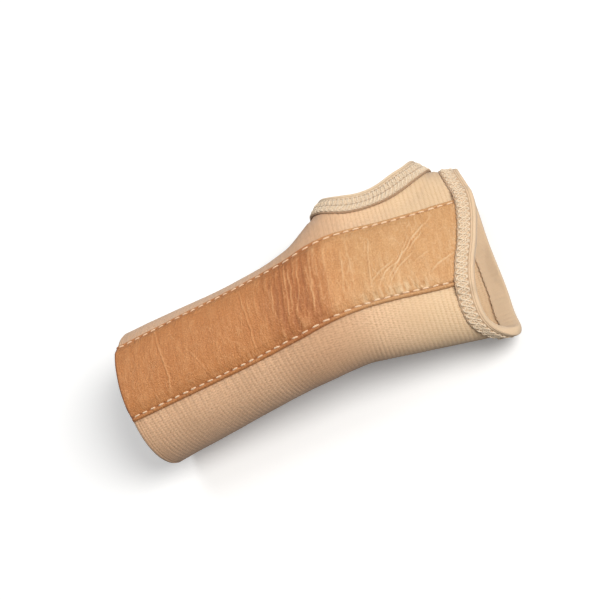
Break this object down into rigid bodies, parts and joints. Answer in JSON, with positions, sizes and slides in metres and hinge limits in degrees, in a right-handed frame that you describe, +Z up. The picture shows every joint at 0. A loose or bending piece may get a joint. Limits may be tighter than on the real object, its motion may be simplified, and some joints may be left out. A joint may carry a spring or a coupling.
{
  "type": "wrist splint",
  "caption": "Slip-on elastic wrist splint with a thumb hole, bound edges, and a leatherette palm pocket that holds a removable bent aluminium stay.",
  "frame": {"origin": "centre of the bounding box, on the ground plane", "axes": "+X from the forearm edge to the finger edge, +Y to the thumb side, +Z up, out of the palm side; the splint lies back side down on its two ends"},
  "size_m": [0.1867, 0.1062, 0.0594],
  "materials": {
    "elastic": "beige ribbed knitted elastic, matt with a faint sheen",
    "leatherette": "tan grained leatherette, satin, creased",
    "lining": "plain woven lining, matt",
    "binding_tape": "pale folded elastic tape, matt",
    "thread": "spun polyester thread, off-white",
    "stay_metal": "satin rolled strip",
    "vinyl": "dipped soft vinyl, off-white",
    "label": "blank woven satin label"
  },
  "bodies": {
    "forearm": {"sleeve_forearm": "elastic", "pocket_panel_forearm": "leatherette", "pocket_lining_forearm": "lining", "topstitch_thumb_side_forearm": "thread", "topstitch_little_finger_side_forearm": "thread", "care_label": "label"},
    "hand": {"sleeve_hand": "elastic", "pocket_panel_hand": "leatherette", "pocket_lining_hand": "lining", "topstitch_thumb_side_hand": "thread", "topstitch_little_finger_side_hand": "thread", "hand_binding": "binding_tape", "hand_binding_coverstitch": "thread", "thumb_binding": "binding_tape", "thumb_binding_coverstitch": "thread"},
    "stay_shank": {"stay_shank": "stay_metal", "stay_tip_forearm_end": "vinyl"},
    "stay_spoon": {"stay_spoon": "stay_metal", "stay_tip_palm_end": "vinyl"}
  },
  "joints": [
    {"name": "wrist_bend", "type": "hinge", "parent": "forearm", "child": "hand", "pos_m": [0.00748, -0.0065, 0.05542], "axis": [0, 1, 0], "range_deg": [-17.5, 5]},
    {"name": "stay_pull", "type": "slide", "parent": "forearm", "child": "stay_shank", "axis": [-0.999, -0.0036, -0.0441], "range_m": [0, 0.17], "deforming": ["pocket_lining_forearm", "pocket_lining_hand"]},
    {"name": "stay_bend", "type": "hinge", "parent": "stay_shank", "child": "stay_spoon", "pos_m": [0.00748, -0.0065, 0.05542], "axis": [0, 1, 0], "range_deg": [-17.5, 5]}
  ],
  "couplings": [
    {"joint": "stay_bend", "follows": "wrist_bend", "ratio": 1}
  ]
}
